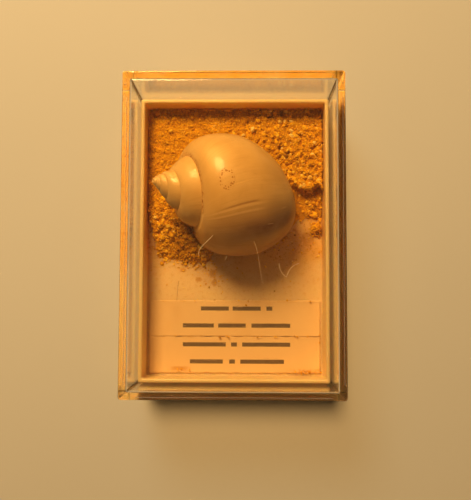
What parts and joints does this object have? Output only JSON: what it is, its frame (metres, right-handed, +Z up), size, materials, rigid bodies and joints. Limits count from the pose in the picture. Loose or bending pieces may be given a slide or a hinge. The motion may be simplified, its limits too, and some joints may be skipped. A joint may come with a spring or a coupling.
{
  "type": "fossil snail shell in a specimen box",
  "caption": "Coiled fossil Globularia snail shell lying on coarse ochre sand in a white tray under a clear box lid, with blank paper label strips in front.",
  "frame": {"origin": "middle of the box's flat underside, on the surface the box stands on", "axes": "+Z up through the lid; +Y towards the end of the box where the sand lies, away from the labels; +X to the right, from the shell's apex towards its base"},
  "size_m": [0.041, 0.06, 0.022],
  "materials": {
    "white_plastic": "glossy white moulding",
    "clear_plastic": "clear polished moulding",
    "ochre_sand": "loose coarse shelly sand",
    "fossil_shell": "satin, cream to buff, with fine growth lines",
    "label_paper": "plain matt paper"
  },
  "bodies": {
    "root": {"base_tray": "white_plastic", "lid": "clear_plastic", "sand_bed": "ochre_sand", "shell": "fossil_shell", "label_upper": "label_paper", "label_lower": "label_paper"}
  },
  "joints": []
}
